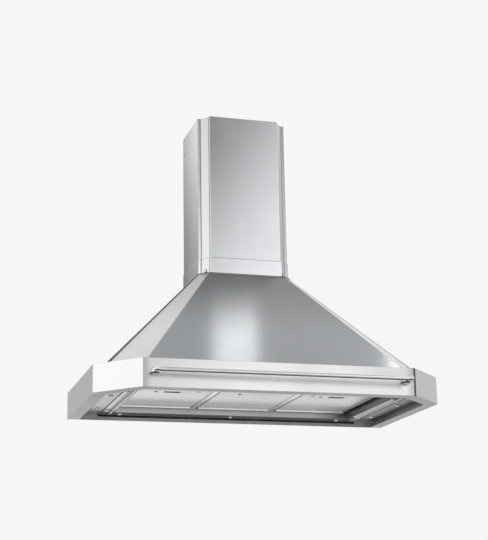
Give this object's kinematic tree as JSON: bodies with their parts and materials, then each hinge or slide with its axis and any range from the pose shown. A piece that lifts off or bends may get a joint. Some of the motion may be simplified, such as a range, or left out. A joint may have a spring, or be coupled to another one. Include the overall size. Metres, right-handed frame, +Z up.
{
  "type": "chimney range hood",
  "caption": "Wall-hung chimney range hood: pyramid canopy on a low band with cut corners, stepped-corner chimney, front rail and drop-down filter cassettes.",
  "frame": {"origin": "on the wall plane, at the middle of the hood's width, level with the band's bottom lip", "axes": "+X to the hood's right as seen from the room, +Y into the wall, +Z up"},
  "size_m": [0.9, 0.5455, 0.8275],
  "materials": {
    "stainless": "brushed",
    "stainless_panel": "brushed",
    "galvanised": "galvanised",
    "aluminium": "satin",
    "bright": "polished",
    "dark_plastic": "matte",
    "white_plastic": "matte",
    "lens": "frosted",
    "motor_paint": "satin",
    "magnet": "matte"
  },
  "bodies": {
    "hood": {"base_band": "stainless", "blower_scroll": "galvanised", "blower_side_left": "galvanised", "blower_side_right": "galvanised", "bottom_pan": "stainless_panel", "cable_gland": "dark_plastic", "canopy_front": "stainless", "canopy_side_left": "stainless", "canopy_side_right": "stainless", "catch_magnets": "magnet", "chimney_bracket": "galvanised", "chimney_bracket_screws": "bright", "chimney_shaft": "stainless", "collar": "stainless", "collar_screws": "bright", "control_box": "dark_plastic", "control_cover": "dark_plastic", "damper_spindle": "bright", "filter_crossbar_1": "stainless_panel", "filter_crossbar_2": "stainless_panel", "filter_rail_front": "stainless_panel", "filter_rail_rear": "stainless_panel", "hand_rail": "stainless", "lamp_bezel_left": "stainless_panel", "lamp_bezel_right": "stainless_panel", "lamp_holders": "white_plastic", "lamp_housing_left": "galvanised", "lamp_housing_right": "galvanised", "lamp_lens_left": "lens", "lamp_lens_right": "lens", "lamp_tube_left": "lens", "lamp_tube_right": "lens", "motor": "motor_paint", "motor_bracket": "galvanised", "outlet_box": "galvanised", "outlet_spigot": "dark_plastic", "rail_posts": "bright", "rail_rosettes": "bright", "rear_panel": "galvanised", "side_plate_left": "stainless_panel", "side_plate_right": "stainless_panel", "throat_plate": "galvanised", "underside_screws": "bright"},
    "cassette_1": {"filter_plate_1": "stainless_panel", "filter_frame_1": "aluminium", "filter_mesh_1": "aluminium", "filter_pins_1": "stainless_panel"},
    "cassette_2": {"filter_plate_2": "stainless_panel", "filter_frame_2": "aluminium", "filter_mesh_2": "aluminium", "filter_pins_2": "stainless_panel"},
    "cassette_3": {"filter_plate_3": "stainless_panel", "filter_frame_3": "aluminium", "filter_mesh_3": "aluminium", "filter_pins_3": "stainless_panel"},
    "wheel": {"impeller": "dark_plastic", "motor_shaft": "bright"},
    "flap_front": {"damper_flap_front": "aluminium"},
    "flap_rear": {"damper_flap_rear": "aluminium"},
    "extension": {"chimney_extension": "stainless"}
  },
  "joints": [
    {"name": "cassette_1_hinge", "type": "hinge", "parent": "hood", "child": "cassette_1", "pos_m": [-0.222, -0.048, 0.0375], "axis": [1, 0, 0], "range_deg": [0, 80]},
    {"name": "cassette_2_hinge", "type": "hinge", "parent": "hood", "child": "cassette_2", "pos_m": [0, -0.048, 0.0375], "axis": [1, 0, 0], "range_deg": [0, 80]},
    {"name": "cassette_3_hinge", "type": "hinge", "parent": "hood", "child": "cassette_3", "pos_m": [0.222, -0.048, 0.0375], "axis": [1, 0, 0], "range_deg": [0, 80]},
    {"name": "wheel_spin", "type": "hinge", "parent": "hood", "child": "wheel", "pos_m": [0, -0.118, 0.225], "axis": [1, 0, 0], "continuous": true},
    {"name": "flap_front_hinge", "type": "hinge", "parent": "hood", "child": "flap_front", "pos_m": [0, -0.088, 0.395], "axis": [-1, 0, 0], "range_deg": [0, 75]},
    {"name": "flap_rear_hinge", "type": "hinge", "parent": "hood", "child": "flap_rear", "pos_m": [0, -0.088, 0.395], "axis": [1, 0, 0], "range_deg": [0, 75]},
    {"name": "extension_slide", "type": "slide", "parent": "hood", "child": "extension", "axis": [0, 0, 1], "range_m": [0, 0.28]}
  ]
}
